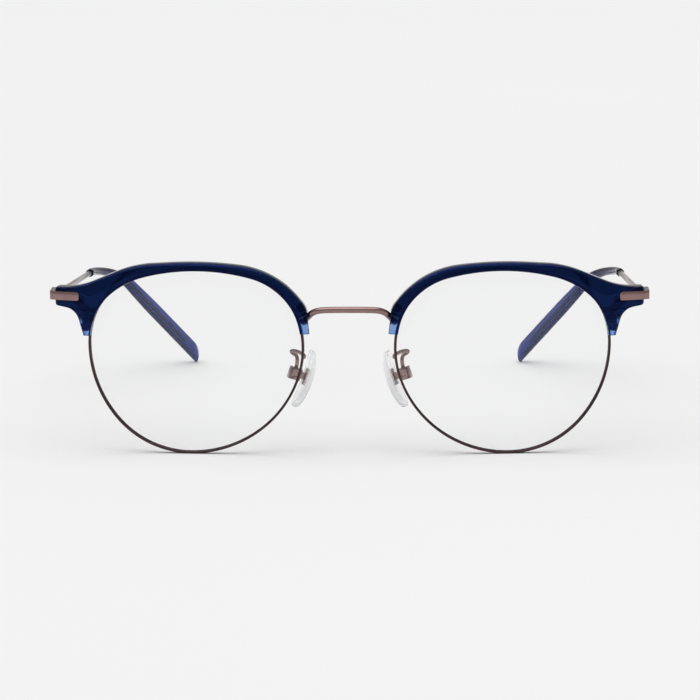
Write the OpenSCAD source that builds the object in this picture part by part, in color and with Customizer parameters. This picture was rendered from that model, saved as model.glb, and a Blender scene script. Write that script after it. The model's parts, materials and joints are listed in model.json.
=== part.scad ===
// Browline glasses, open, standing on the rims and the temple tips.
// Millimetres. +X is the wearer's left, +Y runs back along the temples, +Z is up, the floor is z = 0.
// Every piece is drawn for the left side and mirrored for the right one.

/* [Front] */
// Distance from the middle of the nose to the centre of each lens outline
lens_x = 35.5; // [35:0.1:36.5]
// Turn of each lens about its upright axis, temple side backwards, in degrees
wrap = 4; // [3:0.5:5]
// Radius of the front surface of the lens
curve_r = 132; // [120:1:145]
// Thickness of the lens
lens_t = 1.6; // [1.4:0.1:2]
// Thickness of the metal rim, seen from the front
rim_t = 0.58; // [0.5:0.02:0.7]
// Depth of the metal rim
rim_d = 1.6; // [1.5:0.05:1.8]
// Depth of the groove that holds the edge of the lens
groove_d = 0.3; // [0.25:0.01:0.32]
// How far the brow's face stands in front of the lens
brow_face = 1.8; // [1.5:0.1:2.2]

/* [Hinges] */
// Distance from the middle of the nose to each hinge's axis
hinge_x = 68.15; // [68:0.05:68.3]
// Distance from the front of the lenses back to the hinge's axis
hinge_y = 11.2; // [11:0.1:11.6]
// Radius of the hinge's knuckles
knuckle_r = 1.15; // [1:0.05:1.15]
// Height of the whole hinge
knuckle_h = 2.4; // [2.2:0.1:2.6]
// Radius of the hinge's screw
pin_r = 0.6; // [0.5:0.05:0.65]
// Radial clearance of the hinge's screw
pin_gap = 0.03; // [0.02:0.01:0.05]
// Height of the bar on the brow's corner
bar_h = 2; // [1.9:0.05:2.2]
// Thickness of the bar on the brow's corner
bar_t = 1.1; // [1:0.05:1.2]

/* [Temples] */
// Radius of the temple wire
wire_r = 0.68; // [0.6:0.02:0.7]
// How far back the acetate tip starts
tip_start_y = 80; // [74:1:83]
// Half the width of the tip at its start
tip_start_r = 1; // [0.95:0.05:1.1]
// Half the height of the tip at its end
tip_end_h = 1.9; // [1.8:0.1:2.2]
// Half the thickness of the tip at its end
tip_end_t = 1.3; // [1.2:0.1:1.5]
// Length of the rounded end of the tip
tip_round = 4.5; // [3.5:0.5:5.5]

/* [Nose pads] */
// Length of the pad
pad_l = 14; // [12:0.1:14.5]
// Width of the pad at its lower, wider end
pad_w = 7.2; // [6.5:0.1:7.6]
// Lean of the pads, wider apart below, in degrees
pad_lean = 19; // [15:1:20]
// Splay of the pads, wider apart behind, in degrees
pad_splay = 12; // [8:1:15]
// Radius of the pad's screw
pad_screw_r = 0.45; // [0.4:0.05:0.5]

/* [Hidden] */

// Colours
acetate = [0.06, 0.11, 0.26];
tip_acetate = [0.29, 0.34, 0.52];
bar_metal = [0.52, 0.41, 0.40];
rim_metal = [0.27, 0.19, 0.19];
screw_metal = [0.62, 0.58, 0.56];
clear_lens = [0.9, 0.93, 0.95, 0.3];
clear_pad = [0.87, 0.88, 0.9, 0.6];

// Distance from the front of the lenses back to the middle of the glasses' depth
mid_y = 63.44;
// Gap left between pieces that lie against each other
seat_gap = 0.02;
// How far a cutter reaches past what it cuts
past = 2;

// Lens outline: the outward directions at which its arcs start, and the arcs' radii.
// The radii of the two arcs marked 0 follow from the outline's closing.
arc_at = [0, 25, 50, 75, 105, 140, 165, 200, 230, 270, 320, 360];
arc_r = [17, 13.3, 20.4, 48, 16.6, 14.5, 22, 0, 27, 22.3, 0];
arc_first = 7;
arc_second = 10;
outline_start = [25.56, 3.67];
arc_step = 4;

function dir(a) = [cos(a), sin(a)];
function cross2(a, b) = a[0] * b[1] - a[1] * b[0];
function chord(i) = dir(arc_at[i + 1]) - dir(arc_at[i]);
function sum(v, i = 0) = i == len(v) - 1 ? v[i] : v[i] + sum(v, i + 1);

open_end = sum([for (i = [0 : len(arc_r) - 1]) arc_r[i] * chord(i)]);
first_r = -cross2(open_end, chord(arc_second)) / cross2(chord(arc_first), chord(arc_second));
second_r = -cross2(open_end, chord(arc_first)) / cross2(chord(arc_second), chord(arc_first));
outline_r = [for (i = [0 : len(arc_r) - 1]) i == arc_first ? first_r : i == arc_second ? second_r : arc_r[i]];

// Start and centre of arc i, and the points of the outline grown outwards by d
function arc_start(i) = i == 0 ? outline_start : arc_start(i - 1) + outline_r[i - 1] * chord(i - 1);
function arc_centre(i) = arc_start(i) - outline_r[i] * dir(arc_at[i]);
function arc_turns(i) = ceil((arc_at[i + 1] - arc_at[i]) / arc_step);
function outline(d) = [
    for (i = [0 : len(arc_r) - 1])
        let (n = arc_turns(i), c = arc_centre(i))
            for (k = [0 : n - 1])
                c + (outline_r[i] + d) * dir(arc_at[i] + (arc_at[i + 1] - arc_at[i]) * k / n)
];

// The lowest point of the outline sets the height of the lens's centre
outline_low = min([for (p = outline(rim_t)) p[1]]);
lens_z = -outline_low;

// Depths are measured from the front surface of the lens, forwards
rim_front = 0.35;
rim_back = rim_front - rim_d;
bevel_front = -0.15;
bevel_back = -0.85;
plate_low = -16;
plate_high = 4;
sphere_sides = 240;

// Brow outline in the lens's own frame, as corners [x, y, radius], from the nose end over the top,
// round the outer end and down to the temple end
brow_nose = [-26.2, 6.4, 0];
brow_temple = [27.21, 5.5, 0];
brow_corners = [
    brow_nose,
    [-25.59, 12.3, 4.8],
    [-18.5, 21.4, 21.8],
    [-1.1, 23.45, 85],
    [15.2, 22.35, 25],
    [28.4, 16.75, 21],
    [34.1, 16.6, 0.6],
    [34, 12.35, 0.6],
    [29.05, 11.6, 4],
    brow_temple
];
inside_brow = [[24, 5.5], [0, 10], [-23, 6.4]];

// Points of the arc that rounds corner p, and of a whole outline of such corners
function unit(v) = v / norm(v);
function flat2(p) = [p[0], p[1]];
function turned(v, a) = [v[0] * cos(a) - v[1] * sin(a), v[0] * sin(a) + v[1] * cos(a)];
function corner(a, p, b, r) =
    let (
        u = unit(a - p),
        v = unit(b - p),
        half = acos(u * v) / 2,
        c = p + unit(u + v) * r / sin(half),
        start = p + u * r / tan(half) - c,
        turn = (180 - 2 * half) * sign(cross2(-u, v)),
        n = max(2, ceil(abs(turn) / arc_step))
    )
    [for (k = [0 : n]) c + turned(start, turn * k / n)];
function rounded(list) = [
    for (i = [0 : len(list) - 1])
        each list[i][2] == 0
            ? [flat2(list[i])]
            : corner(flat2(list[i - 1]), flat2(list[i]), flat2(list[i + 1]), list[i][2])
];

// Screws that hold the brow, and the ears they pass through
brow_screw_temple = [26.4, 11.2];
brow_screw_nose = [-23.75, 12.1];
brow_screw_r = 0.4;
brow_screw_l = 2.2;
brow_screw_head_r = 0.65;
thread_gap = 0.01;
ear_gap = 0.03;
screw_head_h = 0.3;
slot_w = 0.2;
slot_depth = 0.15;
ear_t = 0.6;
ear_r = 0.95;
ear_root_w = 1.3;
ear_root_temple = 24.25;
ear_root_nose = -22.95;
// Slot in the back of the brow that the end of the bridge lies in
bridge_slot = [[-27, 7.8], [-27, 11.9], [-23, 10.3], [-23, 7.8]];
bridge_slot_front = -1.9;
bridge_slot_depth = 6;
back_leaf = [[26.1, 12.1], [27.1, 10.5], [31, 13.8], [34.6, 13.8], [34.6, 15.7], [30.4, 15.7]];

// Closing blocks of the rim, in the lens's own frame
split_y = 8.1;
split_gap = 0.15;
split_from = 20;
split_to = 28;
block_inner = 24;
block_outer = 27.4;
block_h = 1.35;
block_front = -2.5;
block_back = -4.1;
rim_screw_x = 26.75;
rim_screw_r = 0.35;
rim_screw_head_r = 0.6;
pocket_gap = 0.1;

// Bar on the brow's corner, seen from above
bar_up = 14.6;
hinge_down = 0.55;
bar_z = bar_up + lens_z;
hinge_z = bar_z - hinge_down;
bar_inner = [63.5, 3.85];
bar_slope = tan(17.5);
bar_outer_x = 70.45;
bar_end_y = 12.3;
bar_bend = 0.9;
bar_corner = 0.55;
bar_reach = 20;
slot_mouth = 1;
side_inner_x = bar_outer_x - bar_t;
function bar_face_y(x) = bar_inner[1] + (x - bar_inner[0]) * bar_slope;

// Hinge halves
slot_gap = 0.1;
leaf_w = 1.7;
leaf_low = -0.6;
leaf_high = 1.6;
leaf_start = 1.6;
leaf_end = 4.4;
leaf_lap = 0.5;
neck_w = 1.4;
foot_inner = -0.3;
foot_front = -1.2;
foot_back = 0.7;
hinge_head_r = 0.95;

// Middle line of the bridge, from the middle of the nose to the left rim
bridge_pts = [
    [0, -1.2, 34.74], [4.6, -1.15, 34.7], [7, -0.75, 34.47],
    [8.5, 0.1, 33.82], [9.7, 1.1, 32.62], [11.1, 1.35, 31.27]
];
bridge_half_h = 0.75;
bridge_half_t = 0.72;
bridge_sides = 16;

// Temple: a straight wire, a bend and a straight tip
wire_from_hinge = 3.6;
temple_start = [hinge_x, hinge_y + wire_from_hinge, 36.95];
bend_start = [66.85, 84, 30.7];
bend_end = [58.5, 106, 24];
tip_end = [42.25, 129, 1.49];
bend_reach = 8;
bend_steps = 14;
core_h = 0.55;
core_t = 0.35;
core_short = 8;
core_gap = 0.06;
swell_from = 0.2;
swell_to = 0.65;
end_thin = 0.3;
end_left = 0.004;
temple_side = [0.8, 0.6, 0];
wire_sides = 14;
tip_sides = 18;
round_steps = 6;

// Nose pad: its own frame starts where the stud leaves the pad, x away from the nose and z up the pad
pad_at = [10.4, 8, 17.32];
pad_centre = -0.6;
pad_back = 0.8;
pad_front = -1.35;
pad_bow = 0.9;
pad_steps = 5;
pad_edge = 0.4;
pad_bevel = 0.8;
pad_top_r = 2.7;
box_front = 1.35;
box_l = 2.8;
box_w = 2.3;
box_h = 2.8;
box_wall = 0.5;
stud_t = 1;
stud_h = 1.6;
stud_end = 3.4;
stud_plate = [0.4, 2.6, 4];
stud_room = 0.2;
pad_head_r = 0.7;
pad_rock_gap = 0.05;
pad_pivot = 2.7;
arm_r = 0.46;
arm_sides = 10;
arm_side = unit([0.85, -0.5, 0]);
arm_pts = [
    [10.6, 1.5, 23.07], [10.7, 2.7, 23.37], [11.9, 5.4, 23.62], [13.2, 7.2, 23.62],
    [13.75, 7.95, 23.35], [13.35, 8.2, 22.85], [12.7, 7.95, 22.5], [12.4, 7.6, 21.8], [12.4, 7.5, 20.8],
    [12.62, 7.7, 19.32]
];

// Smooth curve through points, and a cubic curve between two straight lines
function pick(p, i) = p[max(0, min(len(p) - 1, i))];
function spline_at(p, i, t) =
    let (a = pick(p, i - 1), b = p[i], c = p[i + 1], d = pick(p, i + 2))
        b + 0.5 * ((c - a) * t + (2 * a - 5 * b + 4 * c - d) * t * t + (3 * b - a - 3 * c + d) * t * t * t);
function spline(p, n) = [
    for (i = [0 : len(p) - 2]) for (k = [0 : n - 1]) spline_at(p, i, k / n),
    p[len(p) - 1]
];
function bezier(a, b, c, d, t) =
    pow(1 - t, 3) * a + 3 * pow(1 - t, 2) * t * b + 3 * (1 - t) * t * t * c + pow(t, 3) * d;

// A ring of the oval section at point i of a line: h is half its height, w half its width
function tangent(p, i) = unit(pick(p, i + 1) - pick(p, i - 1));
function across(t, side) = unit(side - (side * t) * t);
function ring(p, i, h, w, drop, sides, side) =
    let (t = tangent(p, i), s = across(t, side), u = cross(s, t))
        [for (k = [0 : sides - 1]) let (a = 360 * k / sides) p[i] + s * w * cos(a) + u * (h * sin(a) - drop)];
// Faces between rings whose points start at number first, and the fan that closes one ring
function skin(rings, sides, first) = [
    for (i = [0 : rings - 2]) for (k = [0 : sides - 1])
        let (a = first + i * sides, b = a + sides, j = (k + 1) % sides)
            each [[a + k, a + j, b + j], [a + k, b + j, b + k]]
];
function lid(first, sides) = [for (k = [1 : sides - 2]) [first, first + k, first + k + 1]];
function flipped(faces) = [for (f = faces) [f[2], f[1], f[0]]];

module sweep(p, h, w, sides, side) {
    points = [for (i = [0 : len(p) - 1]) each ring(p, i, h[i], w[i], 0, sides, side)];
    last = (len(p) - 1) * sides;
    polyhedron(points, concat(skin(len(p), sides, 0), flipped(lid(0, sides)), lid(last, sides)));
}

// Places for the left side, its mirror image, the lens's own frame and the pad's own frame
module left() translate([0, -mid_y, 0]) children();
module right() mirror([1, 0, 0]) left() children();
module face_on() translate([lens_x, 0, lens_z]) rotate([0, 0, wrap]) rotate([90, 0, 0]) children();
module pad_frame() translate(pad_at) rotate([0, 0, -pad_splay]) rotate([0, -pad_lean, 0]) children();

// A block between two opposite corners
module block(low, high) translate(low) cube(high - low);

// A cutter for a bore of length l from z = 0 upwards
module bore(r, l) translate([0, 0, -past]) cylinder(r = r, h = l + 2 * past, $fn = 48);

// A screw with its shaft along z and its slotted head just below z = 0
module screw(r, l, head_r) {
    translate([0, 0, -2 * seat_gap]) cylinder(r = r, h = l + 2 * seat_gap, $fn = 48);
    translate([0, 0, -seat_gap]) rotate([180, 0, 0]) difference() {
        cylinder(r = head_r, h = screw_head_h, $fn = 48);
        block([-head_r - past, -slot_w / 2, screw_head_h - slot_depth], [head_r + past, slot_w / 2, past]);
    }
}

// A plate that follows the lens's curve, between two distances from its front surface
module curved_plate(front, back) {
    intersection() {
        translate([0, 0, plate_low]) linear_extrude(plate_high - plate_low) children();
        translate([0, 0, -curve_r]) difference() {
            sphere(r = curve_r + front, $fn = sphere_sides);
            sphere(r = curve_r + back, $fn = sphere_sides);
        }
    }
}

// The back of the brow at a point of the lens's frame, z pointing out of the front
module on_back(at) {
    r = curve_r + rim_back - ear_t;
    translate([0, 0, -curve_r])
        rotate([-asin(at[1] / r), atan2(at[0], sqrt(r * r - at * at)), 0])
            translate([0, 0, r]) children();
}
module brow_screw_hole(at, gap) {
    on_back(at) translate([0, 0, -past])
        cylinder(r = brow_screw_r + gap, h = past + brow_screw_l + gap, $fn = 48);
}

module lens() face_on() {
    curved_plate(0, -lens_t) polygon(outline(-seat_gap));
    curved_plate(bevel_front - seat_gap, bevel_back + seat_gap) polygon(outline(groove_d - seat_gap));
}

module rim() face_on() difference() {
    curved_plate(rim_front, rim_back) difference() {
        polygon(outline(rim_t));
        polygon(outline(0));
    }
    curved_plate(bevel_front, bevel_back) polygon(outline(groove_d));
    block([split_from, split_y - split_gap / 2, plate_low], [split_to, split_y + split_gap / 2, plate_high]);
}

// The bar seen from above; grow widens it for the slot that it lies in
module bar_plan(grow) {
    front = grow > 0 ? slot_mouth : 0;
    polygon([
        [bar_inner[0] - grow, bar_face_y(bar_inner[0]) - front],
        [bar_outer_x - bar_bend + front, bar_face_y(bar_outer_x - bar_bend) - front],
        [bar_outer_x + front, bar_face_y(bar_outer_x) + bar_bend / 2],
        [bar_outer_x + front, bar_end_y],
        [side_inner_x - grow, bar_end_y],
        [side_inner_x - grow, bar_face_y(side_inner_x) + bar_t + grow],
        [bar_inner[0] - grow, bar_face_y(bar_inner[0]) + bar_t + grow]
    ]);
}
module bar(grow) {
    h = bar_h + 2 * grow;
    r = bar_corner + grow;
    translate([0, 0, bar_z]) intersection() {
        translate([0, 0, -h / 2]) linear_extrude(h) bar_plan(grow);
        translate([bar_inner[0] + bar_corner, 0, 0]) rotate([-90, 0, 0]) linear_extrude(bar_reach) {
            for (end = [-1, 1]) translate([0, end * (h / 2 - r)]) circle(r = r, $fn = 48);
            translate([-r, r - h / 2]) square([r, h - 2 * r]);
            translate([0, -h / 2]) square([bar_reach, h]);
        }
    }
}

module brow() difference() {
    face_on() difference() {
        curved_plate(brow_face, rim_back) difference() {
            polygon(concat(rounded(brow_corners), inside_brow));
            polygon(outline(0));
        }
        curved_plate(rim_front + seat_gap, rim_back - past) polygon(outline(rim_t + seat_gap));
        block([block_inner, 0, block_back - past],
            [block_outer + pocket_gap, split_y + block_h + split_gap, block_front + pocket_gap]);
        brow_screw_hole(brow_screw_temple, thread_gap);
        brow_screw_hole(brow_screw_nose, thread_gap);
    }
    bar(seat_gap);
    face_on() translate([0, 0, bridge_slot_front - bridge_slot_depth])
        linear_extrude(bridge_slot_depth) polygon(bridge_slot);
}

module ear_eye(at, root) {
    translate(at) circle(r = ear_r, $fn = 48);
    translate([min(at[0], root), at[1] - ear_root_w / 2]) square([abs(root - at[0]), ear_root_w]);
}

module endpiece() {
    bar(0);
    face_on() difference() {
        curved_plate(rim_back - seat_gap, rim_back - ear_t) {
            ear_eye(brow_screw_temple, ear_root_temple);
            polygon(back_leaf);
        }
        brow_screw_hole(brow_screw_temple, ear_gap);
    }
}

module brow_lug() face_on() difference() {
    curved_plate(rim_back - seat_gap, rim_back - ear_t) ear_eye(brow_screw_nose, ear_root_nose);
    brow_screw_hole(brow_screw_nose, ear_gap);
}

module brow_screws() face_on() {
    on_back(brow_screw_temple) screw(brow_screw_r, brow_screw_l, brow_screw_head_r);
    on_back(brow_screw_nose) screw(brow_screw_r, brow_screw_l, brow_screw_head_r);
}

// The rim screw's place: its shaft starts under the lower block and runs up
block_mid = (block_front + block_back) / 2;
block_foot = split_y - split_gap / 2 - block_h;
module on_rim_screw() translate([rim_screw_x, block_foot, block_mid]) rotate([-90, 0, 0]) children();

module closing_block(y) face_on() difference() {
    block([block_inner, y, block_back], [block_outer, y + block_h, block_front]);
    translate([0, 0, block_back - past]) linear_extrude(plate_high - block_back)
        polygon(outline(rim_t + seat_gap));
    on_rim_screw() bore(rim_screw_r + seat_gap, 2 * block_h);
}

module rim_screw() face_on() on_rim_screw() screw(rim_screw_r, 2 * block_h, rim_screw_head_r);

module on_hinge() translate([hinge_x, hinge_y, hinge_z]) children();
module pin_bore() translate([0, 0, -knuckle_h / 2]) bore(pin_r + pin_gap, knuckle_h);
module knuckle(r, h) translate([0, 0, -h / 2]) cylinder(r = r, h = h, $fn = 48);

module front_hinge() on_hinge() difference() {
    union() {
        knuckle(knuckle_r, knuckle_h);
        block([foot_inner, foot_front, -knuckle_h / 2],
            [side_inner_x - hinge_x - seat_gap, foot_back, knuckle_h / 2]);
    }
    knuckle(knuckle_r + slot_gap, knuckle_h / 3);
    pin_bore();
}

module temple_hinge() on_hinge() difference() {
    eye_h = knuckle_h / 3 - slot_gap;
    union() {
        knuckle(knuckle_r, eye_h);
        block([-neck_w / 2, 0, -eye_h / 2], [neck_w / 2, leaf_start + leaf_lap, eye_h / 2]);
        block([-leaf_w / 2, leaf_start, leaf_low], [leaf_w / 2, leaf_end, leaf_high]);
    }
    pin_bore();
}

module hinge_screw() on_hinge() translate([0, 0, knuckle_h / 2]) rotate([180, 0, 0])
    screw(pin_r, knuckle_h, hinge_head_r);

// Middle lines of the temple's wire and of its tip
wire_dir = unit(bend_start - temple_start);
tip_dir = unit(tip_end - bend_end);
tip_l = norm(tip_end - bend_end);
tip_start = temple_start + wire_dir * (tip_start_y - temple_start[1]) / wire_dir[1];
bend_enter = bend_start + bend_reach * wire_dir;
bend_leave = bend_end - bend_reach * tip_dir;
bend_line = [for (k = [0 : bend_steps]) bezier(bend_start, bend_enter, bend_leave, bend_end, k / bend_steps)];
core_end = bend_end + tip_dir * (tip_l - core_short);
wire_line = concat([temple_start, tip_start], bend_line, [core_end]);
bore_line = concat([tip_start], bend_line, [core_end + tip_dir * core_gap]);
round_start = bend_end + tip_dir * (tip_l - tip_round);
round_part = [for (k = [0 : round_steps]) sin(90 * k / round_steps)];
round_line = [for (part = round_part) round_start + tip_dir * tip_round * part];
sleeve_line = concat([tip_start], bend_line, round_line);

// Half height and half thickness of the tip at point i, and how much of its height is left at the end
function reached(i) = norm(sleeve_line[i] - tip_start) / norm(tip_end - tip_start);
function swell(t) = t * t * (3 - 2 * t);
function tip_h(i) = tip_start_r
    + (tip_end_h - tip_start_r) * swell(max(0, min(1, (reached(i) - swell_from) / (swell_to - swell_from))));
function tip_t(i) = tip_start_r + (tip_end_t - tip_start_r) * reached(i);
function left_of(i) = let (k = max(0, i - len(bend_line) - 1)) sqrt(max(end_left, 1 - pow(round_part[k], 2)));

module temple() {
    h = [for (i = [0 : len(wire_line) - 1]) i < 2 ? wire_r : core_h];
    t = [for (i = [0 : len(wire_line) - 1]) i < 2 ? wire_r : core_t];
    sweep(wire_line, h, t, wire_sides, temple_side);
}

module temple_tip() {
    n = len(sleeve_line);
    m = len(bore_line);
    outside = [
        for (i = [0 : n - 1])
            let (h = tip_h(i), left = left_of(i))
                each ring(sleeve_line, i, h * left, tip_t(i) * (end_thin + (1 - end_thin) * left),
                    h * (1 - left), tip_sides, temple_side)
    ];
    bore = [
        for (i = [0 : m - 1])
            let (h = i == 0 ? wire_r : core_h, t = i == 0 ? wire_r : core_t)
                each ring(bore_line, i, h + core_gap, t + core_gap, 0, tip_sides, temple_side)
    ];
    first = n * tip_sides;
    mouth = [
        for (k = [0 : tip_sides - 1])
            let (j = (k + 1) % tip_sides)
                each [[k, first + j, j], [k, first + k, first + j]]
    ];
    polyhedron(concat(outside, bore), concat(
        skin(n, tip_sides, 0), lid((n - 1) * tip_sides, tip_sides),
        flipped(skin(m, tip_sides, first)), flipped(lid(first + (m - 1) * tip_sides, tip_sides)),
        mouth
    ));
}

// A line's mirror image, from its end to its second point, and a bar of even section along a line
function mirrored(p) = [for (i = [len(p) - 1 : -1 : 1]) [-p[i][0], p[i][1], p[i][2]]];
module even_bar(line, h, w, sides, side) {
    sweep(line, [for (p = line) h], [for (p = line) w], sides, side);
}

module bridge_bar() {
    half = spline(bridge_pts, 4);
    even_bar(concat(mirrored(half), half), bridge_half_h, bridge_half_t, bridge_sides, [0, 1, 0]);
}

module pad_arm() even_bar(spline(arm_pts, 4), arm_r, arm_r, arm_sides, arm_side);

// The pad's screw runs across the pad, with its head behind; its bores pass through the box and the stud
module on_pad_screw() translate([pad_pivot, box_w / 2, 0]) rotate([90, 0, 0]) children();
module pad_bore(gap) on_pad_screw() bore(pad_screw_r + gap, box_w);

module pad_box() pad_frame() difference() {
    half_room = stud_h / 2 + stud_room;
    block([box_front, -box_w / 2, -box_h / 2], [box_front + box_l, box_w / 2, box_h / 2]);
    block([box_front - past, box_wall - box_w / 2, -half_room],
        [box_front + box_l - box_wall, box_w / 2 - box_wall, half_room]);
    pad_bore(seat_gap);
}

module pad_screw() pad_frame() on_pad_screw() screw(pad_screw_r, box_w, pad_head_r);

module stud_body() {
    block([0, -stud_t / 2, -stud_h / 2], [stud_end, stud_t / 2, stud_h / 2]);
    block(-stud_plate / 2, stud_plate / 2);
}
module pad_stud() pad_frame() difference() {
    stud_body();
    pad_bore(pad_rock_gap);
}

// The pad is bowed towards the nose: its slices lie along a curve, and its edges are bevelled
top_z = pad_centre + pad_l / 2 - pad_top_r;
low_z = pad_centre - pad_l / 2 + pad_w / 2;
function pad_shift(z) = pad_bow * pow((z - pad_centre) / (pad_l / 2), 2) - pad_bow / 3;
module pad_slice(share) {
    z = low_z + (top_z - low_z) * share;
    r = pad_w / 2 + (pad_top_r - pad_w / 2) * share;
    tilt = atan(2 * pad_bow * (z - pad_centre) / pow(pad_l / 2, 2));
    translate([pad_shift(z), 0, z]) rotate([0, 90 + tilt, 0]) for (cut = [[0, pad_bevel], [pad_edge, 0]])
        translate([0, 0, pad_front + cut[0]])
            cylinder(r = r - cut[1], h = pad_back - pad_front - 2 * cut[0], $fn = 32);
}
module nose_pad() pad_frame() difference() {
    for (i = [1 : pad_steps]) hull() {
        pad_slice((i - 1) / pad_steps);
        pad_slice(i / pad_steps);
    }
    stud_body();
}

// One module for each piece
module bridge() color(bar_metal) left() bridge_bar();
module lens_left() color(clear_lens) left() lens();
module lens_right() color(clear_lens) right() lens();
module rim_left() color(rim_metal) left() rim();
module rim_right() color(rim_metal) right() rim();
module brow_left() color(acetate) left() brow();
module brow_right() color(acetate) right() brow();
module closing_block_upper_left() color(rim_metal) left() closing_block(split_y + split_gap / 2);
module closing_block_upper_right() color(rim_metal) right() closing_block(split_y + split_gap / 2);
module closing_block_lower_left() color(rim_metal) left() closing_block(split_y - split_gap / 2 - block_h);
module closing_block_lower_right() color(rim_metal) right() closing_block(split_y - split_gap / 2 - block_h);
module rim_screw_left() color(screw_metal) left() rim_screw();
module rim_screw_right() color(screw_metal) right() rim_screw();
module brow_lug_left() color(rim_metal) left() brow_lug();
module brow_lug_right() color(rim_metal) right() brow_lug();
module brow_screws_left() color(screw_metal) left() brow_screws();
module brow_screws_right() color(screw_metal) right() brow_screws();
module endpiece_left() color(bar_metal) left() endpiece();
module endpiece_right() color(bar_metal) right() endpiece();
module front_hinge_left() color(bar_metal) left() front_hinge();
module front_hinge_right() color(bar_metal) right() front_hinge();
module hinge_screw_left() color(screw_metal) left() hinge_screw();
module hinge_screw_right() color(screw_metal) right() hinge_screw();
module temple_hinge_left() color(bar_metal) left() temple_hinge();
module temple_hinge_right() color(bar_metal) right() temple_hinge();
module temple_left() color(bar_metal) left() temple();
module temple_right() color(bar_metal) right() temple();
module temple_tip_left() color(tip_acetate) left() temple_tip();
module temple_tip_right() color(tip_acetate) right() temple_tip();
module pad_arm_left() color(bar_metal) left() pad_arm();
module pad_arm_right() color(bar_metal) right() pad_arm();
module pad_box_left() color(bar_metal) left() pad_box();
module pad_box_right() color(bar_metal) right() pad_box();
module pad_screw_left() color(screw_metal) left() pad_screw();
module pad_screw_right() color(screw_metal) right() pad_screw();
module pad_stud_left() color(screw_metal) left() pad_stud();
module pad_stud_right() color(screw_metal) right() pad_stud();
module nose_pad_left() color(clear_pad) left() nose_pad();
module nose_pad_right() color(clear_pad) right() nose_pad();

bridge();
lens_left();
lens_right();
rim_left();
rim_right();
brow_left();
brow_right();
closing_block_upper_left();
closing_block_upper_right();
closing_block_lower_left();
closing_block_lower_right();
rim_screw_left();
rim_screw_right();
brow_lug_left();
brow_lug_right();
brow_screws_left();
brow_screws_right();
endpiece_left();
endpiece_right();
front_hinge_left();
front_hinge_right();
hinge_screw_left();
hinge_screw_right();
temple_hinge_left();
temple_hinge_right();
temple_left();
temple_right();
temple_tip_left();
temple_tip_right();
pad_arm_left();
pad_arm_right();
pad_box_left();
pad_box_right();
pad_screw_left();
pad_screw_right();
pad_stud_left();
pad_stud_right();
nose_pad_left();
nose_pad_right();
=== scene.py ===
# Browline glasses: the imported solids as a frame, dressed with smooth pieces and finished materials.
# Metres. +X is the wearer's left, +Y runs back along the temples, +Z is up, the floor is z = 0.
import json
import math

import bmesh
import bpy
from mathutils import Matrix, Vector


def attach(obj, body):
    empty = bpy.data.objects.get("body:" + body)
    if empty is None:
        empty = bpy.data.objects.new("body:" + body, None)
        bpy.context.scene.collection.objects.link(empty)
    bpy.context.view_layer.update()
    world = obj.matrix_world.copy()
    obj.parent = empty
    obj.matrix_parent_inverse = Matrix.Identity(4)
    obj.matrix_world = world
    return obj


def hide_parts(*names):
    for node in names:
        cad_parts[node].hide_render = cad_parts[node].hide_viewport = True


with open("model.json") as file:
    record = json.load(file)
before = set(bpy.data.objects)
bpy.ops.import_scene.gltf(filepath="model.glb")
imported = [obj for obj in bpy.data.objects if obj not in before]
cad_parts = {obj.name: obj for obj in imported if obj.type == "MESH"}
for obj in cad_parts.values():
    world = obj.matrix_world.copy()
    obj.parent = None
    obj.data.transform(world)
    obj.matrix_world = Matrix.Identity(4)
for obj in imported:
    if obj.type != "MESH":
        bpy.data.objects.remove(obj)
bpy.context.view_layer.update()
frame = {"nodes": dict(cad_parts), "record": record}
nodes = frame["nodes"]

MM = 0.001
SIDES = (("left", 1), ("right", -1))

# Measures that the source of the solids also has, in millimetres
LENS_X = 35.5
WRAP = math.radians(4)
CURVE_R = 132
LENS_T = 1.6
RIM_T = 0.58
RIM_FRONT = 0.35
RIM_BACK = RIM_FRONT - 1.6
GROOVE_D = 0.3
GROOVE_FRONT = -0.15
GROOVE_BACK = -0.85
BROW_FACE = 1.8
MID_Y = 63.44
SPLIT_Y = 8.1
SPLIT_GAP = 0.15
# The lens's outline is a chain of arcs: the directions where they meet and their radii.
# The two radii of ARC_OPEN are worked out so that the chain closes.
ARC_AT = (0, 25, 50, 75, 105, 140, 165, 200, 230, 270, 320, 360)
ARC_R = (17, 13.3, 20.4, 48, 16.6, 14.5, 22, 0, 27, 22.3, 0)
ARC_OPEN = (7, 10)
OUTLINE_START = (25.56, 3.67)

# In degrees: the step round the outline, and the directions that its temple side and its nose side face
ARC_STEP = 2
TEMPLE_FACES = (0, 60)
NOSE_FACES = (150, 200)
HALVINGS = 40


# Outline of the lens, in its own frame: x towards the temple, y up

def unit(angle):
    return Vector((math.cos(math.radians(angle)), math.sin(math.radians(angle))))


def cross(a, b):
    return a.x * b.y - a.y * b.x


def closed_radii():
    chords = [unit(b) - unit(a) for a, b in zip(ARC_AT, ARC_AT[1:])]
    left_open = sum((r * c for r, c in zip(ARC_R, chords)), Vector((0, 0)))
    first, second = chords[ARC_OPEN[0]], chords[ARC_OPEN[1]]
    radii = list(ARC_R)
    radii[ARC_OPEN[0]] = -cross(left_open, second) / cross(first, second)
    radii[ARC_OPEN[1]] = -cross(left_open, first) / cross(second, first)
    return radii


def arc_list():
    arcs = []
    start = Vector(OUTLINE_START)
    for first, last, radius in zip(ARC_AT, ARC_AT[1:], closed_radii()):
        centre = start - radius * unit(first)
        arcs.append((first, last, centre, radius))
        start = centre + radius * unit(last)
    return arcs


ARCS = arc_list()


def outline_at(angle, grow):
    """Point of the outline whose outward direction is angle, moved outwards by grow."""
    turn = angle % 360
    for first, last, centre, radius in ARCS:
        if first <= turn <= last:
            return centre + (radius + grow) * unit(turn)


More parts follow.
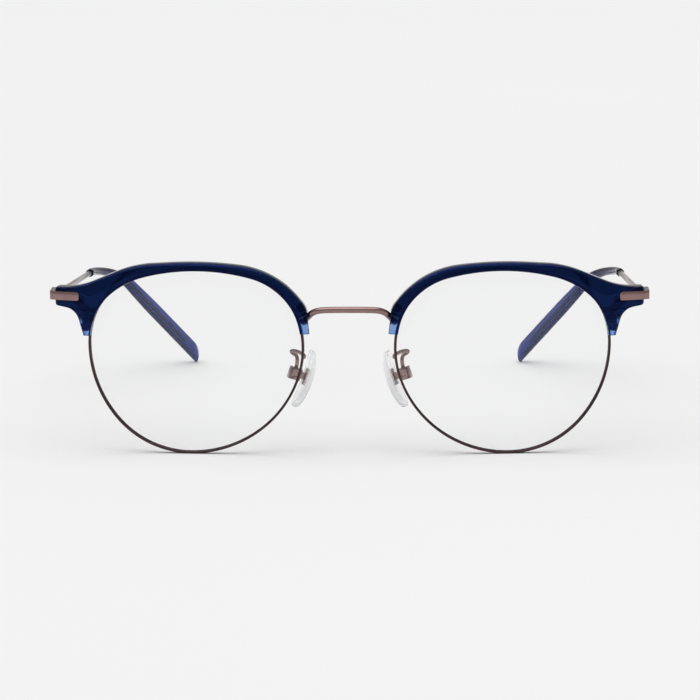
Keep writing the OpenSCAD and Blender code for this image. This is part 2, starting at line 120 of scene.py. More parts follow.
def angle_at_height(height, low, high):
    """Outward direction between low and high at which the outline has that height."""
    rising = outline_at(high, 0).y > outline_at(low, 0).y
    for _ in range(HALVINGS):
        middle = (low + high) / 2
        if (outline_at(middle, 0).y < height) == rising:
            low = middle
        else:
            high = middle
    return middle


# The rims stand on the floor, which sets the height of the lenses' centres
LENS_Z = -min(outline_at(a / 2, RIM_T).y for a in range(720))


def on_face(point, depth, side=1):
    """A point of the lens's frame, depth in front of the curve of the lens, in the glasses' frame."""
    reach = CURVE_R + depth
    out = -CURVE_R + math.sqrt(reach * reach - point[0] ** 2 - point[1] ** 2)
    x = LENS_X + point[0] * math.cos(WRAP) + out * math.sin(WRAP)
    y = point[0] * math.sin(WRAP) - out * math.cos(WRAP) - MID_Y
    return Vector((side * x, y, LENS_Z + point[1])) * MM


def placed(x, y, z, side=1):
    """A point given in the source's millimetres, measured from the front of the lenses."""
    return Vector((side * x, y - MID_Y, z)) * MM


# Modelling helpers

MERGE = 0.002 * MM
EDGE_SEGMENTS = 2
# In degrees: faces that meet at less are one face, and edges that are sharper are rounded
ONE_FACE = 1
SHARP_EDGE = 35
# In degrees: the bend from which an edge is shaded as an edge, in general and on special pieces
CREASE = 40
LENS_CREASE = 25
BROW_CREASE = 35
SOFT_CREASE = 60


def choose(piece):
    """Selects the piece alone and makes it the active one."""
    bpy.ops.object.select_all(action="DESELECT")
    piece.select_set(True)
    bpy.context.view_layer.objects.active = piece


def loft(name, rings, crease=CREASE):
    """A closed skin through rings of points: a filled circle on the first ring, extruded to the others."""
    bpy.ops.object.select_all(action="DESELECT")
    bpy.ops.mesh.primitive_circle_add(vertices=len(rings[0]), radius=MM, fill_type="NGON")
    piece = bpy.context.object
    piece.name = name
    piece.data.name = name
    bpy.ops.object.mode_set(mode="EDIT")
    mesh = bmesh.from_edit_mesh(piece.data)
    place = mesh.verts.layers.int.new("place")
    for index, vertex in enumerate(mesh.verts):
        vertex[place] = index
        vertex.co = rings[0][index]
    for ring in rings[1:]:
        bpy.ops.mesh.extrude_region()
        mesh = bmesh.from_edit_mesh(piece.data)
        place = mesh.verts.layers.int["place"]
        for vertex in mesh.verts:
            if vertex.select:
                vertex.co = ring[vertex[place]]
    mesh.verts.layers.int.remove(place)
    bmesh.update_edit_mesh(piece.data)
    bpy.ops.mesh.select_all(action="SELECT")
    bpy.ops.mesh.normals_make_consistent(inside=False)
    bpy.ops.object.mode_set(mode="OBJECT")
    bpy.ops.object.shade_smooth_by_angle(angle=math.radians(crease))
    return piece


def section_axes(line, i, side):
    """The two directions across a line at its point i: the one nearest to side, and the one across that."""
    along = (line[min(i + 1, len(line) - 1)] - line[max(i - 1, 0)]).normalized()
    over = (side - side.dot(along) * along).normalized()
    return over, over.cross(along)


def oval_rings(line, half_w, half_h, side, count):
    """Oval sections along a line: half_w along side, half_h across it."""
    rings = []
    for i, point in enumerate(line):
        over, up = section_axes(line, i, side)
        ring = []
        for k in range(count):
            turn = 2 * math.pi * k / count
            across = over * half_w[i] * MM * math.cos(turn)
            ring.append(point + across + up * half_h[i] * MM * math.sin(turn))
        rings.append(ring)
    return rings


def spline(points, steps):
    """A smooth line through points."""
    line = []
    last = len(points) - 1
    for i in range(last):
        a = points[max(i - 1, 0)]
        b = points[i]
        c = points[i + 1]
        d = points[min(i + 2, last)]
        for k in range(steps):
            t = k / steps
            line.append(0.5 * (2 * b + (c - a) * t + (2 * a - 5 * b + 4 * c - d) * t * t
                               + (3 * b - a - 3 * c + d) * t ** 3))
    line.append(points[last])
    return line


def apply_modifier(piece, kind, **settings):
    choose(piece)
    modifier = piece.modifiers.new(kind.title(), kind)
    for key, value in settings.items():
        setattr(modifier, key, value)
    bpy.ops.object.modifier_apply(modifier=modifier.name)


def softened(node, width):
    """A copy of a solid with its edges rounded by width."""
    piece = bpy.data.objects.new(node + "_finished", nodes[node].data.copy())
    bpy.context.scene.collection.objects.link(piece)
    choose(piece)
    bpy.ops.object.mode_set(mode="EDIT")
    bpy.ops.mesh.select_all(action="SELECT")
    bpy.ops.mesh.remove_doubles(threshold=MERGE)
    bpy.ops.mesh.dissolve_limited(angle_limit=math.radians(ONE_FACE))
    bpy.ops.object.mode_set(mode="OBJECT")
    apply_modifier(piece, "BEVEL", width=width * MM, segments=EDGE_SEGMENTS, limit_method="ANGLE",
                   angle_limit=math.radians(SHARP_EDGE), use_clamp_overlap=True)
    bpy.ops.object.shade_smooth_by_angle(angle=math.radians(CREASE))
    return piece


# Materials

# Depth of a finish's fine relief, and where a mottled colour begins and ends
RELIEF = 0.02 * MM
CLOUD_ENDS = (0.3, 0.7)


def shader(name):
    material = bpy.data.materials.new(name)
    material.use_nodes = True
    tree = material.node_tree
    return material, tree, tree.nodes["Principled BSDF"]


def mottle(tree, scale, detail=4, stretch=(1, 1, 1)):
    """Noise on object coordinates, stretched along an axis where the finish is brushed."""
    where = tree.nodes.new("ShaderNodeTexCoord")
    mapping = tree.nodes.new("ShaderNodeMapping")
    mapping.inputs["Scale"].default_value = stretch
    noise = tree.nodes.new("ShaderNodeTexNoise")
    noise.inputs["Scale"].default_value = scale
    noise.inputs["Detail"].default_value = detail
    tree.links.new(where.outputs["Object"], mapping.inputs["Vector"])
    tree.links.new(mapping.outputs["Vector"], noise.inputs["Vector"])
    return noise


def ramp(tree, source, low, high):
    """Colour that runs from low to high with the source."""
    colours = tree.nodes.new("ShaderNodeValToRGB")
    for element, position, colour in zip(colours.color_ramp.elements, CLOUD_ENDS, (low, high)):
        element.position = position
        element.color = (*colour, 1)
    tree.links.new(source.outputs["Fac"], colours.inputs["Fac"])
    return colours


def clouded(tree, bsdf, source, low, high):
    """Gives the surface a colour that runs from low to high with the source."""
    tree.links.new(ramp(tree, source, low, high).outputs["Color"], bsdf.inputs["Base Color"])


def worn(tree, bsdf, source, low, high):
    """Gives the surface a roughness that runs from low to high with the source."""
    value = tree.nodes.new("ShaderNodeMapRange")
    value.inputs["To Min"].default_value = low
    value.inputs["To Max"].default_value = high
    tree.links.new(source.outputs["Fac"], value.inputs["Value"])
    tree.links.new(value.outputs["Result"], bsdf.inputs["Roughness"])


def relieved(tree, bsdf, source, strength):
    """Gives the surface a fine relief that follows the source."""
    relief = tree.nodes.new("ShaderNodeBump")
    relief.inputs["Strength"].default_value = strength
    relief.inputs["Distance"].default_value = RELIEF
    tree.links.new(source.outputs["Fac"], relief.inputs["Height"])
    tree.links.new(relief.outputs["Normal"], bsdf.inputs["Normal"])


def plated_metal(name, dark, light, rough):
    """Plated metal, polished along its length, with slight tone changes and fine wear."""
    material, tree, bsdf = shader(name)
    cloud = mottle(tree, 260)
    grain = mottle(tree, 900, 6, (1, 1, 6))
    clouded(tree, bsdf, cloud, dark, light)
    worn(tree, bsdf, grain, rough * 0.75, rough * 1.3)
    bsdf.inputs["Metallic"].default_value = 1
    relieved(tree, bsdf, grain, 0.08)
    return material


def by_height(tree, low, high, pale, deep):
    """Colour that deepens from pale at height low to deep at height high."""
    where = tree.nodes.new("ShaderNodeTexCoord")
    axes = tree.nodes.new("ShaderNodeSeparateXYZ")
    share = tree.nodes.new("ShaderNodeMapRange")
    share.inputs["From Min"].default_value = low * MM
    share.inputs["From Max"].default_value = high * MM
    colour = tree.nodes.new("ShaderNodeMix")
    colour.data_type = "RGBA"
    colour.inputs["A"].default_value = (*pale, 1)
    colour.inputs["B"].default_value = (*deep, 1)
    tree.links.new(where.outputs["Object"], axes.inputs["Vector"])
    tree.links.new(axes.outputs["Z"], share.inputs["Value"])
    tree.links.new(share.outputs["Result"], colour.inputs["Factor"])
    return colour


def clear_acetate(name, fade, reflection, body_colour, density):
    """Translucent acetate: a tinted body that deepens with its thickness, under a hand-polished surface."""
    material, tree, bsdf = shader(name)
    cloud = ramp(tree, mottle(tree, 90), (0.82, 0.84, 0.88), (1, 1, 1))
    polish = mottle(tree, 420, 5)
    tinted = tree.nodes.new("ShaderNodeMix")
    tinted.data_type = "RGBA"
    tinted.blend_type = "MULTIPLY"
    tinted.inputs["Factor"].default_value = 1
    tree.links.new(by_height(tree, *fade).outputs["Result"], tinted.inputs["A"])
    tree.links.new(cloud.outputs["Color"], tinted.inputs["B"])
    tree.links.new(tinted.outputs["Result"], bsdf.inputs["Base Color"])
    worn(tree, bsdf, polish, 0.02, 0.07)
    bsdf.inputs["IOR"].default_value = 1.48
    bsdf.inputs["Specular Tint"].default_value = (*reflection, 1)
    bsdf.inputs["Transmission Weight"].default_value = 1
    relieved(tree, bsdf, polish, 0.01)
    body = tree.nodes.new("ShaderNodeVolumeAbsorption")
    body.inputs["Color"].default_value = (*body_colour, 1)
    body.inputs["Density"].default_value = density
    tree.links.new(body.outputs["Volume"], tree.nodes["Material Output"].inputs["Volume"])
    return material


def coated_lens():
    """Clear lens whose coating leaves it almost without reflections."""
    material, tree, bsdf = shader("clear_coated_lens")
    haze = mottle(tree, 60)
    clouded(tree, bsdf, haze, (0.82, 0.87, 0.92), (0.9, 0.93, 0.96))
    worn(tree, bsdf, haze, 0.02, 0.04)
    bsdf.inputs["IOR"].default_value = 1.5
    bsdf.inputs["Alpha"].default_value = 0.03
    return material


def clear_silicone():
    """Soft clear silicone, faintly milky, with moulded tone changes."""
    material, tree, bsdf = shader("clear_silicone")
    cloud = mottle(tree, 350)
    skin = mottle(tree, 1500, 3)
    clouded(tree, bsdf, cloud, (0.88, 0.9, 0.94), (0.96, 0.97, 0.99))
    worn(tree, bsdf, skin, 0.05, 0.12)
    bsdf.inputs["IOR"].default_value = 1.41
    bsdf.inputs["Transmission Weight"].default_value = 0.9
    bsdf.inputs["Alpha"].default_value = 0.45
    relieved(tree, bsdf, skin, 0.05)
    return material


# Where each acetate fades, in height, and its pale and its deep colour
BROW_FADE = (31, 32, (0.8, 0.9, 1), (0.05, 0.065, 0.075))
TIP_FADE = (0, 30, (0.5, 0.65, 1), (0.6, 0.75, 1))

SLOT_MATERIAL = {
    "brow_acetate": clear_acetate("navy_acetate", BROW_FADE, (0.12, 0.22, 1), (0, 0.35, 0.75), 1100),
    "tip_acetate": clear_acetate("blue_acetate", TIP_FADE, (0.35, 0.5, 1), (0, 0.12, 0.6), 1500),
    "bar_metal": plated_metal("brown_plated_bar", (0.25, 0.16, 0.15), (0.31, 0.2, 0.19), 0.18),
    "rim_metal": plated_metal("dark_brown_plated_rim", (0.05, 0.03, 0.031), (0.075, 0.045, 0.045), 0.24),
    "screw_metal": plated_metal("brown_plated_screw", (0.26, 0.19, 0.18), (0.34, 0.26, 0.24), 0.25),
    "clear_lens": coated_lens(),
    "clear_pad": clear_silicone(),
}
SLOT_OF = {part["node"]: part["material_slot"] for part in frame["record"]["subparts"]}


def paint(piece, slot):
    piece.data.materials.clear()
    piece.data.materials.append(SLOT_MATERIAL[slot])


def fit(piece, body, slot, *replaced):
    """Says what a piece is: what it rides on, its finish and the solids that it stands for."""
    paint(piece, slot)
    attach(piece, body)
    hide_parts(*replaced)


for node, slot in SLOT_OF.items():
    paint(nodes[node], slot)


# Rims and lenses

# The groove's bottom is narrower than its mouth by this on either side
GROOVE_TAPER = 0.05
# Section of the rim: how far out from the outline, and how far in front of the lens's curve
RIM_SECTION = (
    (0.06, RIM_FRONT - 0.06), (0.16, RIM_FRONT), (0.42, RIM_FRONT), (0.53, RIM_FRONT - 0.06),
    (RIM_T, RIM_FRONT - 0.18), (RIM_T, RIM_BACK + 0.18), (0.53, RIM_BACK + 0.06), (0.42, RIM_BACK),
    (0.12, RIM_BACK), (0, RIM_BACK + 0.1), (0, GROOVE_BACK), (GROOVE_D, GROOVE_BACK + GROOVE_TAPER),
    (GROOVE_D, GROOVE_FRONT - GROOVE_TAPER), (0, GROOVE_FRONT), (0, RIM_FRONT - 0.16),
)
# Clearance of the lens in the rim, and the sizes of the rings on its faces as shares of its edge
LENS_SEAT = 0.02
LENS_SHARES = (0.02, 0.15, 0.3, 0.45, 0.6, 0.75, 0.88, 0.97)


def rim(name, side):
    split = angle_at_height(SPLIT_Y, *TEMPLE_FACES)
    half_gap = math.degrees(SPLIT_GAP / 2 / ARC_R[0])
    first = split + half_gap
    last = split + 360 - half_gap
    steps = int((last - first) / ARC_STEP)
    rings = []
    for i in range(steps + 1):
        angle = first + (last - first) * i / steps
        rings.append([on_face(outline_at(angle, out), depth, side) for out, depth in RIM_SECTION])
    return loft(name, rings)


def lens(name, side):
    """A curved lens whose edge has a bevel that sits in the rim's groove."""
    angles = [ARC_STEP * i for i in range(360 // ARC_STEP)]
    edge = [outline_at(a, -LENS_SEAT) for a in angles]
    bevel = [outline_at(a, GROOVE_D - LENS_SEAT) for a in angles]
    layers = [(share, edge, -LENS_T) for share in LENS_SHARES]
    layers += [
        (1, edge, -LENS_T),
        (1, edge, GROOVE_BACK + LENS_SEAT),
        (1, bevel, GROOVE_BACK + GROOVE_TAPER + LENS_SEAT / 2),
        (1, bevel, GROOVE_FRONT - GROOVE_TAPER - LENS_SEAT / 2),
        (1, edge, GROOVE_FRONT - LENS_SEAT),
        (1, edge, 0),
    ]
    layers += [(share, edge, 0) for share in reversed(LENS_SHARES)]
    rings = [[on_face(p * share, depth, side) for p in points] for share, points, depth in layers]
    return loft(name, rings, LENS_CREASE)


for side_name, side in SIDES:
    fit(rim("rim_" + side_name + "_wire", side), "front", "rim_metal", "rim_" + side_name)
    fit(lens("lens_" + side_name + "_glass", side), "front", "clear_lens", "lens_" + side_name)


# Brows

# Outside of the brow, from the temple end over the top to the nose end: x, y and the radius of the corner
BROW_CORNERS = (
    (27.21, 5.5, 0), (29.05, 11.6, 4), (34, 12.35, 0.6), (34.1, 16.6, 0.6), (28.4, 16.75, 21),
    (15.2, 22.35, 25), (-1.1, 23.45, 85), (-18.5, 21.4, 21.8), (-25.59, 12.3, 4.8), (-26.2, 6.4, 0),
)
BROW_STATION = 0.6
# Steps in degrees: of the search for the nearest direction, and the least from one station to the next
SEARCH_STEP = 0.5
LEAST_TURN = 0.05
# The wing that carries the bar: the corner past which a point is on it, and the directions that it faces
WING_CORNER = (28.6, 10.6)
WING_FACES = (24, 43)
# The brow is hollow behind beside the closing blocks, and thin beside the bridge's end
POCKET_TOP = 10
NOSE_THIN_TOP = 10.3
THIN_BACK = 0.62
WALL_T = 0.6
SEAM = 0.02


def rounded_line(corners):
    """The line through corners, each rounded by its radius."""
    line = []
    for i, (x, y, radius) in enumerate(corners):
        point = Vector((x, y))
        if radius == 0:
            line.append(point)
            continue
        to_last = (Vector(corners[i - 1][:2]) - point).normalized()
        to_next = (Vector(corners[i + 1][:2]) - point).normalized()
        half = to_last.angle(to_next) / 2
        centre = point + (to_last + to_next).normalized() * radius / math.sin(half)
        start = point + to_last * radius / math.tan(half) - centre
        turn = (math.pi - 2 * half) * (1 if cross(-to_last, to_next) > 0 else -1)
        steps = max(4, int(abs(turn) * radius / BROW_STATION))
        for k in range(steps + 1):
            line.append(centre + Matrix.Rotation(turn * k / steps, 2) @ start)
    return line


def even_line(line, step):
    """The same line with points about one step apart."""
    even = [line[0]]
    for a, b in zip(line, line[1:]):
        parts = max(1, round((b - a).length / step))
        even += [a + (b - a) * k / parts for k in range(1, parts + 1)]
    return even


def nearest_angle(point, low, high):
    """Outward direction between low and high whose point of the outline is nearest."""
    best = low
    steps = int((high - low) / SEARCH_STEP)
    for i in range(steps + 1):
        angle = low + (high - low) * i / steps
        if (outline_at(angle, 0) - point).length < (outline_at(best, 0) - point).length:
            best = angle
    return best


def brow_stations():
    """Pairs of an outside point and the direction of the outline's point that it faces."""
    outside = even_line(rounded_line(BROW_CORNERS), BROW_STATION)
    low = angle_at_height(BROW_CORNERS[0][1], *TEMPLE_FACES)
    high = angle_at_height(BROW_CORNERS[-1][1], *NOSE_FACES)
    wing_low, wing_high = WING_FACES
    angles = []
    on_wing = [i for i, p in enumerate(outside) if p.x > WING_CORNER[0] and p.y > WING_CORNER[1]]
    for i, point in enumerate(outside):
        if i < on_wing[0]:
            angles.append(low + (wing_low - low) * i / on_wing[0])
        elif i <= on_wing[-1]:
            share = (i - on_wing[0]) / (on_wing[-1] - on_wing[0])
            angles.append(wing_low + (wing_high - wing_low) * share)
        else:
            angles.append(max(angles[-1] + LEAST_TURN, min(high, nearest_angle(point, wing_high, high))))
    angles[-1] = high
    return list(zip(outside, angles))


def brow_section(outer, angle, wall_back, inner_back):
    """Corners of the brow's section, with rounded front and back edges: flat place and depth."""
    inner = outline_at(angle, 0)
    rim_wall = outline_at(angle, RIM_T + SEAM)
    across = (outer - inner).normalized()
    lip = RIM_FRONT + SEAM
    soft = min(0.4, (BROW_FACE - wall_back) / 3)
    return (
        (inner, lip), (inner, BROW_FACE - 0.3), (inner + across * 0.08, BROW_FACE - 0.09),
        (inner + across * 0.3, BROW_FACE), (outer - across * 0.8, BROW_FACE),
        (outer - across * 0.32, BROW_FACE - 0.1), (outer - across * 0.08, BROW_FACE - 0.32),
        (outer, BROW_FACE - 0.7), (outer, wall_back + soft), (outer - across * 0.1, wall_back + soft / 3),
        (outer - across * 0.35, wall_back), (outer - across * WALL_T, wall_back),
        (outer - across * (WALL_T + SEAM), inner_back), (rim_wall, inner_back), (rim_wall, lip),
    )


def brow(name, side):
    rings = []
    for outer, angle in brow_stations():
        height = outline_at(angle, 0).y
        wall_back = RIM_BACK
        inner_back = RIM_BACK
        if outer.x > 0 and height < POCKET_TOP and outer.y < POCKET_TOP:
            inner_back = THIN_BACK
        if outer.x < 0 and height < NOSE_THIN_TOP:
            wall_back = THIN_BACK
            inner_back = THIN_BACK
        section = brow_section(outer, angle, wall_back, inner_back)
        rings.append([on_face(point, depth, side) for point, depth in section])
    return loft(name, rings, BROW_CREASE)


# Bar on the brow's corner: inner end, slope of its face, height, thickness and outer side
BAR_INNER = (63.5, 3.85)
BAR_SLOPE = math.tan(math.radians(17.5))
BAR_H = 2
BAR_T = 1.1
BAR_CORNER = 0.55
BAR_Z = 14.6
BAR_GAP = 0.14
SLOT_OUTER = 73
SLOT_MOUTH = 1.5
SLOT_TURN = 15


def cut(piece, cutter):
    """Takes the cutter's form out of the piece and deletes the cutter."""
    apply_modifier(piece, "BOOLEAN", operation="DIFFERENCE", object=cutter, solver="EXACT")
    bpy.data.objects.remove(cutter, do_unlink=True)
    choose(piece)
    bpy.ops.object.shade_smooth_by_angle(angle=math.radians(BROW_CREASE))


def bar_slot(side):
    """A block with rounded corners that clears the bar by a hair's breadth."""
    radius = BAR_CORNER + BAR_GAP
    centre_x = BAR_INNER[0] + BAR_CORNER
    centre_z = BAR_H / 2 - BAR_CORNER
    half = BAR_H / 2 + BAR_GAP
    outline = [(SLOT_OUTER, -half), (SLOT_OUTER, half)]
    for middle, first in ((centre_z, 0), (-centre_z, 90)):
        for angle in range(first, first + 91, SLOT_TURN):
            turn = math.radians(angle)
            outline.append((centre_x - radius * math.sin(turn), middle + radius * math.cos(turn)))
    rings = []
    for depth in (-SLOT_MOUTH, BAR_T + BAR_GAP / 2):
        ring = []
        for x, z in outline:
            y = BAR_INNER[1] + (x - BAR_INNER[0]) * BAR_SLOPE + depth
            ring.append(placed(x, y, LENS_Z + BAR_Z + z, side))
        rings.append(ring)
    return loft("bar_slot", rings)


for side_name, side in SIDES:
    piece = brow("brow_" + side_name + "_acetate", side)
    cut(piece, bar_slot(side))
    fit(piece, "front", "brow_acetate", "brow_" + side_name)


# Bridge

# Half of the bridge's line, from its middle to the rim
BRIDGE_POINTS = (
    (0, -1.2, 34.74), (4.6, -1.15, 34.7), (7, -0.75, 34.47), (8.5, 0.1, 33.82), (9.7, 1.1, 32.62),
    (11.1, 1.35, 31.27),
)
BRIDGE_HALF_W = 0.72
BRIDGE_HALF_H = 0.75
WIRE_SIDES = 24
CURVE_STEPS = 6


def bridge():
    half = spline([placed(*p) for p in BRIDGE_POINTS], CURVE_STEPS)
    line = [Vector((-p.x, p.y, p.z)) for p in reversed(half[1:])] + half
    half_w = [BRIDGE_HALF_W] * len(line)
    half_h = [BRIDGE_HALF_H] * len(line)
    return loft("bridge_bar", oval_rings(line, half_w, half_h, Vector((0, 1, 0)), WIRE_SIDES))


fit(bridge(), "front", "bar_metal", "bridge")


# Temples and their tips

TEMPLE_START_Y = 14.8
TEMPLE_START = placed(68.15, TEMPLE_START_Y, 36.95)
BEND_START = placed(66.85, 84, 30.7)
BEND_END = placed(58.5, 106, 24)
TIP_END = placed(42.25, 129, 1.49)
TIP_START_Y = 80
WIRE_DIR = (BEND_START - TEMPLE_START).normalized()
TIP_DIR = (TIP_END - BEND_END).normalized()
TIP_START = TEMPLE_START + WIRE_DIR * (TIP_START_Y - TEMPLE_START_Y) * MM / WIRE_DIR.y
TIP_LENGTH = (TIP_END - BEND_END).length
BEND_REACH = 8 * MM
BEND_STEPS = 24
TEMPLE_SIDE = Vector((0.8, 0.6, 0))

# The wire is round up to the tip, and its thinner core ends in a short point inside the tip
WIRE_R = 0.68
WIRE_MIDDLE = 30 * MM
CORE_HALF_W = 0.35
CORE_HALF_H = 0.38
CORE_BLEND = 1.5 * MM
CORE_SHORT = 8 * MM
# Distance from the core's end, half width and half height
CORE_POINT = ((0.8, CORE_HALF_W, CORE_HALF_H), (0.2, 0.3, 0.34), (0, 0.14, 0.16))

# The tip grows wider all along, and taller between two shares of its length
TIP_WIDER = 0.3
TIP_TALLER = 0.9
SWELL_FROM = 0.2
SWELL_TO = 0.65
# Length and size of the bevel where the wire goes in
MOUTH_BEVEL = 0.25 * MM
MOUTH_SHARE = 0.88
TIP_ROUND = 4.5 * MM
# Keeps the rounder end within the length of the solid
TIP_TRIM = 0.03 * MM
# Share of its width that the end keeps, and the least square of its height's share
END_WIDTH = 0.3
END_LEAST = 0.004
END_STEPS = 10
STRAIGHT_STEPS = 8
TIP_SIDES = 32


def bend_line():
    a = BEND_START
    b = BEND_START + BEND_REACH * WIRE_DIR
    c = BEND_END - BEND_REACH * TIP_DIR
    d = BEND_END
    line = []
    for k in range(BEND_STEPS + 1):
        t = k / BEND_STEPS
        line.append((1 - t) ** 3 * a + 3 * (1 - t) ** 2 * t * b + 3 * (1 - t) * t * t * c + t ** 3 * d)
    return line


def mirrored(rings, side):
    return [[Vector((side * p.x, p.y, p.z)) for p in ring] for ring in rings]


def temple(name, side):
    """The temple's wire, which runs on as a thin core in the tip."""
    wire = [TEMPLE_START, TEMPLE_START + WIRE_DIR * WIRE_MIDDLE, TIP_START]
    core = [TIP_START + WIRE_DIR * CORE_BLEND] + bend_line()
    core_end = BEND_END + TIP_DIR * (TIP_LENGTH - CORE_SHORT)
    line = wire + core + [core_end - TIP_DIR * left * MM for left, _, _ in CORE_POINT]
    half_w = [WIRE_R] * len(wire) + [CORE_HALF_W] * len(core) + [w for _, w, _ in CORE_POINT]
    half_h = [WIRE_R] * len(wire) + [CORE_HALF_H] * len(core) + [h for _, _, h in CORE_POINT]
    return loft(name, mirrored(oval_rings(line, half_w, half_h, TEMPLE_SIDE, WIRE_SIDES), side))


def temple_tip(name, side):
    """The acetate tip, whose end keeps its lower edge while it gets lower and thinner."""
    round_start = BEND_END + TIP_DIR * (TIP_LENGTH - TIP_ROUND)
    parts = [math.sin(math.radians(90 * k / END_STEPS)) for k in range(END_STEPS + 1)]
    straight = [BEND_END + (round_start - BEND_END) * k / STRAIGHT_STEPS for k in range(1, STRAIGHT_STEPS)]
    line = [TIP_START, TIP_START + WIRE_DIR * MOUTH_BEVEL] + bend_line() + straight
    plain = len(line)
    line += [round_start + TIP_DIR * (TIP_ROUND - TIP_TRIM) * part for part in parts]
    reach = (TIP_END - TIP_START).length
    half_w = []
    half_h = []
    drop = []
    for i, point in enumerate(line):
        share = (point - TIP_START).length / reach
        left = 1 if i < plain else math.sqrt(max(END_LEAST, 1 - parts[i - plain] ** 2))
        mouth = MOUTH_SHARE if i == 0 else 1
        grown = max(0, min(1, (share - SWELL_FROM) / (SWELL_TO - SWELL_FROM)))
        height = (1 + TIP_TALLER * grown * grown * (3 - 2 * grown)) * mouth
        half_w.append((1 + TIP_WIDER * share) * (END_WIDTH + (1 - END_WIDTH) * left) * mouth)
        half_h.append(height * left)
        drop.append(height * (1 - left))
    rings = oval_rings(line, half_w, half_h, TEMPLE_SIDE, TIP_SIDES)
    for i, ring in enumerate(rings):
        _, up = section_axes(line, i, TEMPLE_SIDE)
        rings[i] = [p - up * drop[i] * MM for p in ring]
    return loft(name, mirrored(rings, side), SOFT_CREASE)


for side_name, side in SIDES:
    body = "temple_" + side_name
    fit(temple("temple_" + side_name + "_wire", side), body, "bar_metal", "temple_" + side_name)
    piece = temple_tip("temple_tip_" + side_name + "_acetate", side)
    fit(piece, body, "tip_acetate", "temple_tip_" + side_name)


# Nose pads and their arms

# The arm runs back from the rim, turns round and comes down into the pad's box
ARM_POINTS = (
    (10.6, 1.5, 23.07), (10.7, 2.7, 23.37), (11.9, 5.4, 23.62), (13.2, 7.2, 23.62), (13.75, 7.95, 23.35),
    (13.35, 8.2, 22.85), (12.7, 7.95, 22.5), (12.4, 7.6, 21.8), (12.4, 7.5, 20.8), (12.62, 7.7, 19.32),
)
ARM_R = 0.46
ARM_SIDE = Vector((0.85, -0.5, 0))
ARM_SIDES = 16
PAD_AT = Vector((10.4, 8, 17.32))
PAD_TURN = Matrix.Rotation(math.radians(-12), 4, "Z") @ Matrix.Rotation(math.radians(-19), 4, "Y")
PAD_CENTRE = -0.6
PAD_HALF = 7
PAD_BOW = 0.9
# Thickness towards the nose and towards the arm, and half width below and at the top
PAD_THICK = (1.35, 0.8)
PAD_WIDTHS = (3.6, 2.7)
# How full the pad is towards its ends and edges: smaller is fuller
PAD_FULL_WIDTH = 0.5
PAD_FULL_THICK = 0.32
PAD_FULL_FACE = 0.75
PAD_FULL_EDGE = 0.85
PAD_POLE = 0.012
PAD_LAYERS = 30
PAD_SIDES = 36


def pad_arm(name, side):
    line = spline([placed(*p) for p in ARM_POINTS], CURVE_STEPS)
    radii = [ARM_R] * len(line)
    rings = oval_rings(line, radii, radii, ARM_SIDE, ARM_SIDES)
    return loft(name, mirrored(rings, side))


def nose_pad(name, side):
    """A soft pad, wider below and bowed towards the nose, whose edge is rounded all the way round."""
    low_w, top_w = PAD_WIDTHS
    rings = []
    for i in range(PAD_LAYERS + 1):
        turn = math.pi * (PAD_POLE + (1 - 2 * PAD_POLE) * i / PAD_LAYERS)
        along = -math.cos(turn)
        fall = math.sin(turn)
        half_w = (low_w + (top_w - low_w) * (along + 1) / 2) * fall ** PAD_FULL_WIDTH
        shift = PAD_BOW * along * along - PAD_BOW / 3
        ring = []
        for k in range(PAD_SIDES):
            angle = 2 * math.pi * k / PAD_SIDES
            depth = math.cos(angle)
            across = math.sin(angle)
            thick = PAD_THICK[1] if depth > 0 else PAD_THICK[0]
            deep = thick * fall ** PAD_FULL_THICK
            x = shift + deep * math.copysign(abs(depth) ** PAD_FULL_FACE, depth)
            y = half_w * math.copysign(abs(across) ** PAD_FULL_EDGE, across)
            z = PAD_CENTRE + PAD_HALF * along
            ring.append(placed(*(PAD_TURN @ Vector((x, y, z)) + PAD_AT), side))
        rings.append(ring)
    return loft(name, rings, SOFT_CREASE)


for side_name, side in SIDES:
    fit(pad_arm("pad_arm_" + side_name + "_wire", side), "front", "bar_metal", "pad_arm_" + side_name)
    piece = nose_pad("nose_pad_" + side_name + "_silicone", side)
    fit(piece, "pad_" + side_name, "clear_pad", "nose_pad_" + side_name)


# Small metal pieces, with their edges rounded

SOFT_EDGES = {
    "endpiece": 0.12,
    "front_hinge": 0.07,
    "temple_hinge": 0.1,
    "pad_box": 0.35,
    "brow_lug": 0.08,
    "closing_block_upper": 0.12,
    "closing_block_lower": 0.12,
}
for kind, width in SOFT_EDGES.items():
    for side_name, side in SIDES:
        node = kind + "_" + side_name
        body = "temple_" + side_name if kind == "temple_hinge" else "front"
        fit(softened(node, width), body, SLOT_OF[node], node)


# Floor, light and camera

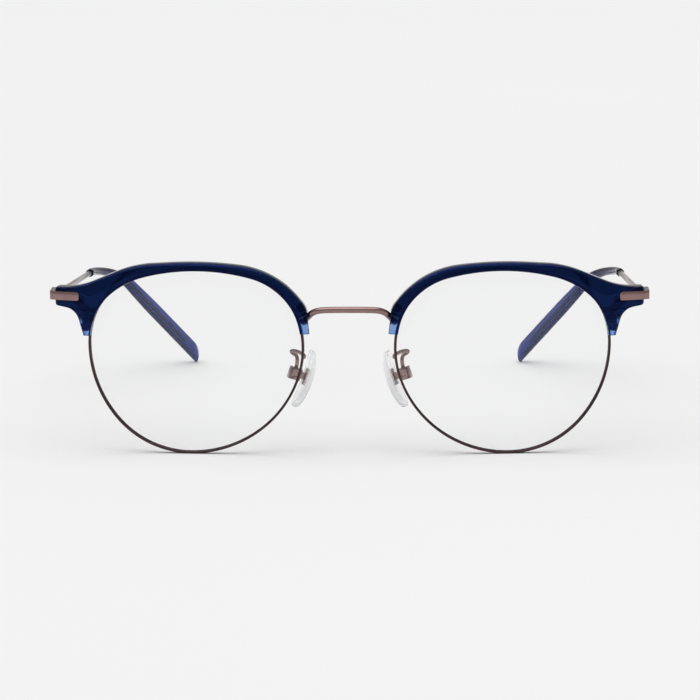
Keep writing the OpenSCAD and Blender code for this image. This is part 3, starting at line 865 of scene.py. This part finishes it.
FLOOR_SIZE = 8
WORLD_LIGHT = 0.45
SUN_LIGHT = 1.84
SUN_SOFTNESS = math.radians(75)
SUN_TURN = (math.radians(12), math.radians(-8), 0)
CAMERA_PLACE = Vector((18.5, -990 - MID_Y, 194.38)) * MM
CAMERA_PITCH = math.radians(90 - 9.7047)
CAMERA_YAW = math.radians(1.0572)
CAMERA_ROLL = math.radians(-0.21)
FOCAL = 220.78
SENSOR = 36


def stage_material():
    material, tree, bsdf = shader("pale_floor")
    clouded(tree, bsdf, mottle(tree, 2), (0.88, 0.88, 0.88), (0.9, 0.9, 0.9))
    bsdf.inputs["Roughness"].default_value = 0.9
    return material


def studio_floor():
    bpy.ops.object.select_all(action="DESELECT")
    bpy.ops.mesh.primitive_plane_add(size=FLOOR_SIZE)
    floor = bpy.context.object
    floor.name = "studio_floor"
    floor.data.materials.append(stage_material())


def studio_light():
    world = bpy.data.worlds.new("studio_world")
    bpy.context.scene.world = world
    world.use_nodes = True
    background = world.node_tree.nodes["Background"]
    background.inputs["Color"].default_value = (1, 1, 1, 1)
    background.inputs["Strength"].default_value = WORLD_LIGHT
    sun = bpy.data.lights.new("soft_overhead", "SUN")
    sun.energy = SUN_LIGHT
    sun.angle = SUN_SOFTNESS
    overhead = bpy.data.objects.new("soft_overhead", sun)
    overhead.rotation_euler = SUN_TURN
    bpy.context.scene.collection.objects.link(overhead)


def photo_camera():
    data = bpy.data.cameras.new("photo_camera")
    data.lens = FOCAL
    data.sensor_width = SENSOR
    data.clip_start = 0.05
    data.clip_end = 20
    camera = bpy.data.objects.new("photo_camera", data)
    turn = Matrix.Rotation(CAMERA_YAW, 4, "Z") @ Matrix.Rotation(CAMERA_PITCH, 4, "X")
    turn = turn @ Matrix.Rotation(CAMERA_ROLL, 4, "Z")
    camera.matrix_world = Matrix.Translation(CAMERA_PLACE) @ turn
    bpy.context.scene.collection.objects.link(camera)
    bpy.context.scene.camera = camera
    bpy.context.scene.view_settings.view_transform = "Standard"


studio_floor()
studio_light()
photo_camera()
